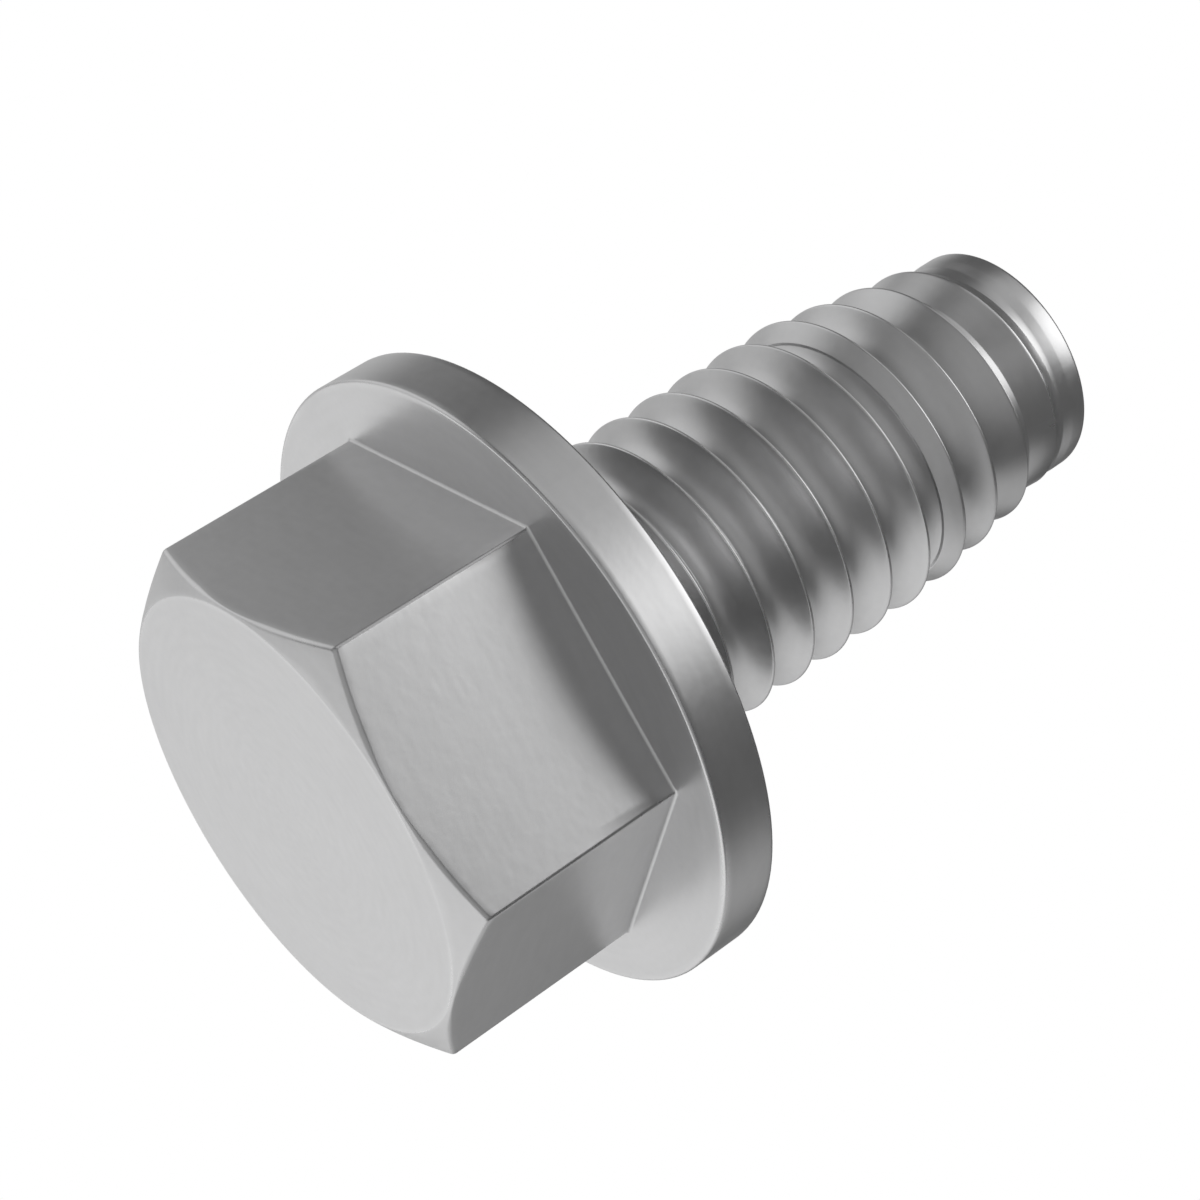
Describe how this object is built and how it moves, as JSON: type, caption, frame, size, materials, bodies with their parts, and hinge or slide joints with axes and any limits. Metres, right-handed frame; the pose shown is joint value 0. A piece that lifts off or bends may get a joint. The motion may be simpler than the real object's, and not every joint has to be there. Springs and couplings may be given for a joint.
{
  "type": "hex flange self-tapping screw",
  "caption": "Hex head screw with a flat round flange, a coarse right-hand thread that tapers towards the tip, and a plain stub point.",
  "frame": {"origin": "centre of the head's flat top, on which the screw stands", "axes": "+Z along the screw's axis from the head to the tip; a corner of the hex lies on +X"},
  "size_m": [0.0197, 0.0196, 0.0281],
  "materials": {
    "steel": "smooth bright plated steel, satin gloss"
  },
  "bodies": {
    "root": {"flange_screw": "steel"}
  },
  "joints": []
}
